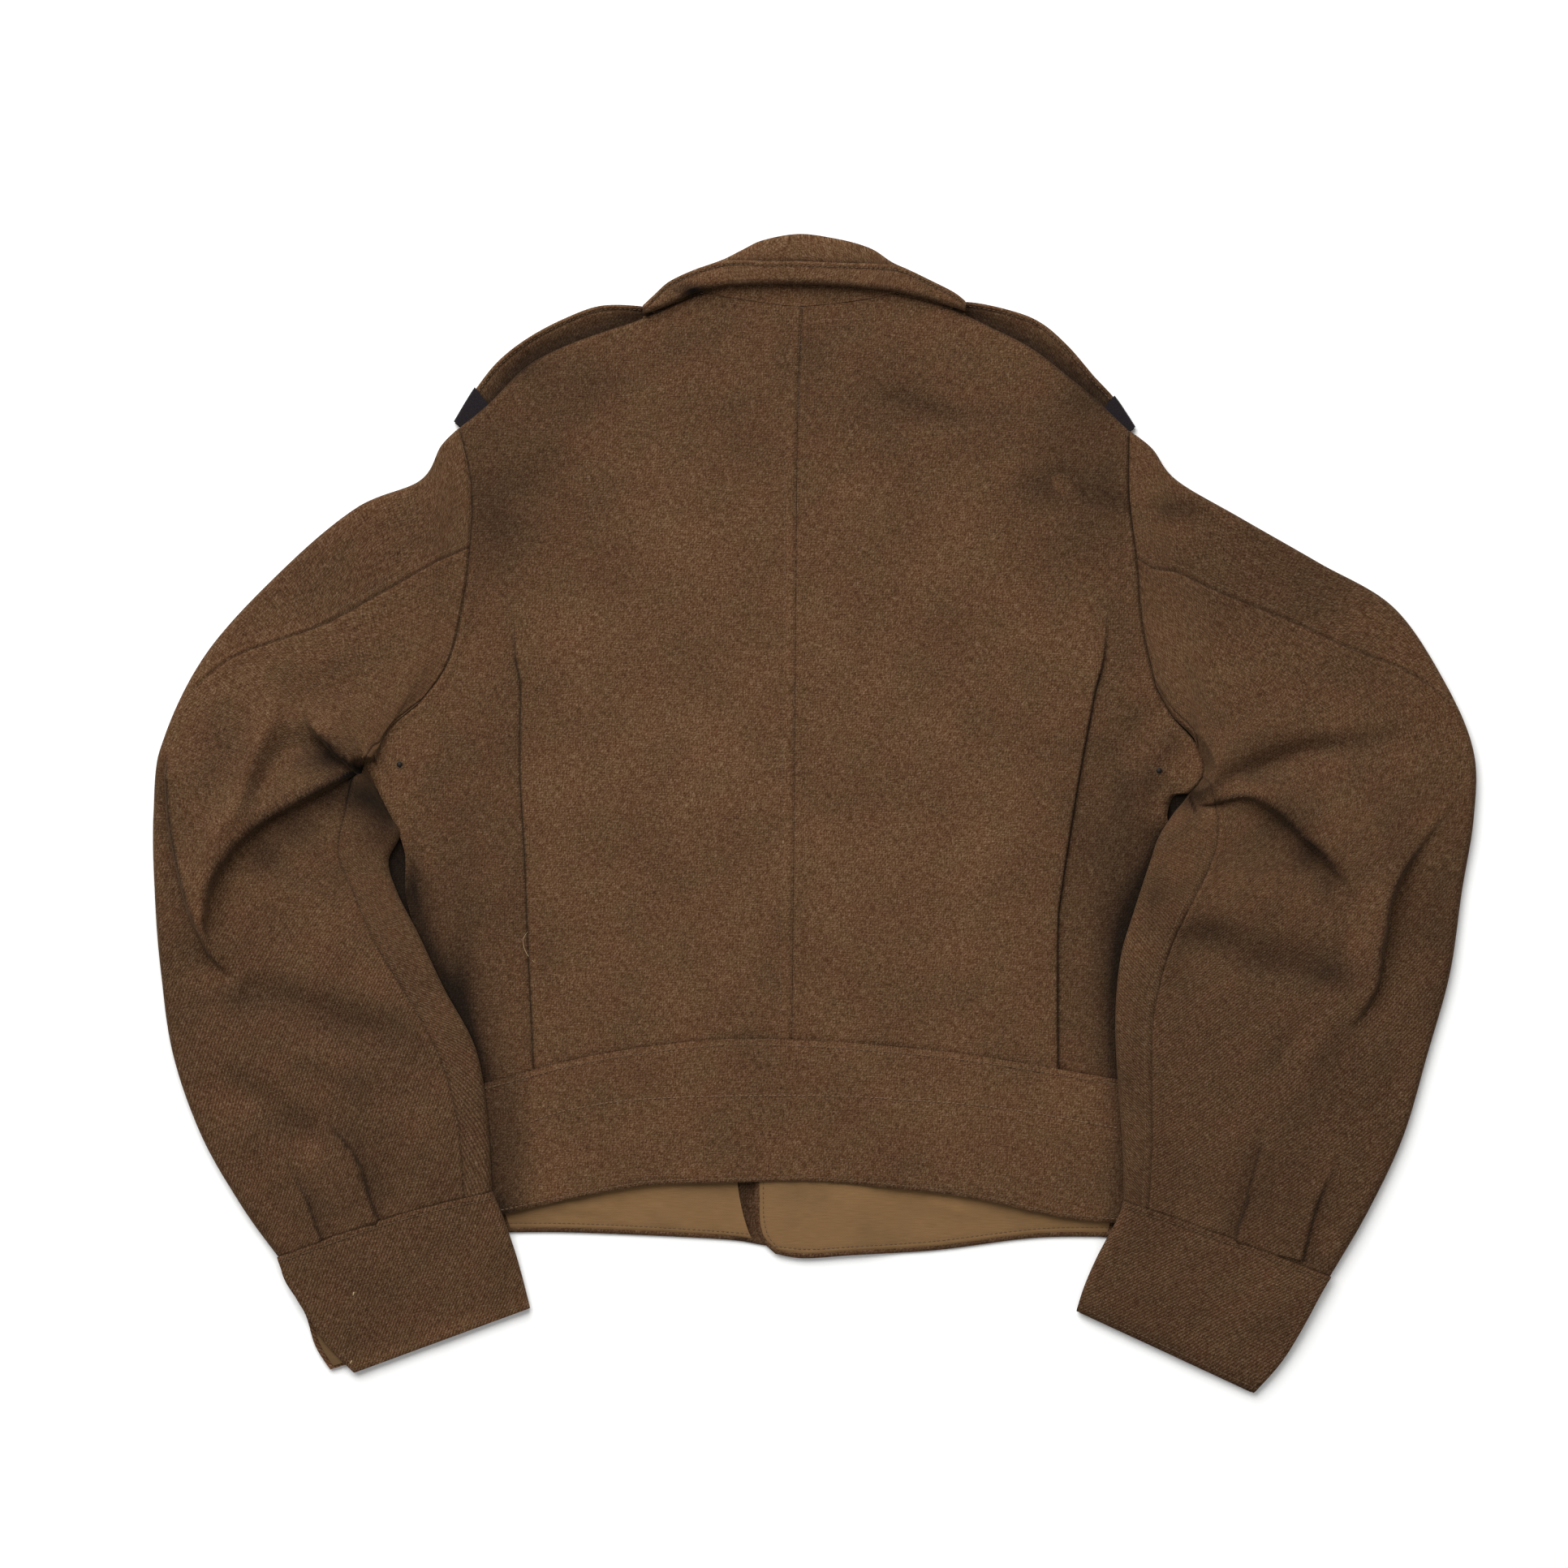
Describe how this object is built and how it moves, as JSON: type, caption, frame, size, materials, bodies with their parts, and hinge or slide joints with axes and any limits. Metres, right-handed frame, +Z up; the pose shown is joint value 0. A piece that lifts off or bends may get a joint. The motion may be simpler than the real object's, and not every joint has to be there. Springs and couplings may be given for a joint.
{
  "type": "battle dress jacket",
  "caption": "Short wool serge battle dress jacket laid flat on its front, back up, with pleated back, waistband, turned-up collar, shoulder straps and long sleeves in cuffs.",
  "frame": {"origin": "on the surface the jacket lies on, under the middle of its outline", "axes": "+Z up from the surface, +Y from hem to collar, +X toward the wearer's right sleeve"},
  "size_m": [0.8788, 0.7696, 0.0264],
  "materials": {
    "wool_serge": "matt brushed twill",
    "tan_drill": "matt cotton",
    "black_cloth": "matt wool felt"
  },
  "bodies": {
    "root": {"back_left": "wool_serge", "back_right": "wool_serge", "front_left": "wool_serge", "front_right": "wool_serge", "waistband_back": "wool_serge", "waistband_front_left": "wool_serge", "waistband_front_right": "wool_serge", "waistband_lining_left": "tan_drill", "waistband_lining_right": "tan_drill", "collar_back": "wool_serge", "collar_front_left": "wool_serge", "collar_front_right": "wool_serge", "shoulder_strap_left": "wool_serge", "shoulder_strap_right": "wool_serge", "strap_slide_left": "black_cloth", "strap_slide_right": "black_cloth", "top_sleeve_left": "wool_serge", "top_sleeve_right": "wool_serge", "under_sleeve_left": "wool_serge", "under_sleeve_right": "wool_serge", "cuff_left": "wool_serge", "cuff_right": "wool_serge", "cuff_lining_left": "tan_drill"}
  },
  "joints": []
}
